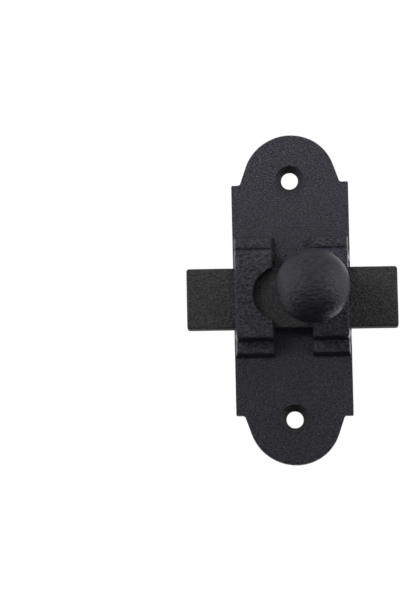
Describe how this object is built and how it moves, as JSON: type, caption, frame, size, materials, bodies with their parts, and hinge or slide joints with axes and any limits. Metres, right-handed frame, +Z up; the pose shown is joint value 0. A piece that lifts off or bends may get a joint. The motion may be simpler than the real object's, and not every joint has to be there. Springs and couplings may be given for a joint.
{
  "type": "sliding bolt",
  "caption": "Surface sliding bolt: a flat bar with a ball knob runs in notched strap guides on an arched, shouldered back plate with countersunk screw holes.",
  "frame": {"origin": "centre of the plate's back face, midway between the screw holes", "axes": "+X along the bar to the right as seen from the front, +Y out of the back face into the door, +Z up the plate"},
  "size_m": [0.0772, 0.0421, 0.1234],
  "materials": {
    "painted_plate": "satin black paint over a fine cast grain",
    "painted_guide": "satin black paint over a coarse hammered grain",
    "painted_bar": "satin black paint on rolled flat bar",
    "painted_knob": "semi-gloss black paint on a turned ball",
    "spring_steel": "blued spring steel"
  },
  "bodies": {
    "plate": {"backplate": "painted_plate", "left_guide": "painted_guide", "right_guide": "painted_guide", "upper_left_rivet": "painted_plate", "lower_left_rivet": "painted_plate", "upper_right_rivet": "painted_plate", "lower_right_rivet": "painted_plate"},
    "bolt": {"bolt_bar": "painted_bar", "knob": "painted_knob", "friction_spring": "spring_steel"}
  },
  "joints": [
    {"name": "bolt_slide", "type": "slide", "parent": "plate", "child": "bolt", "axis": [-1, 0, 0], "range_m": [0, 0.015]}
  ]
}
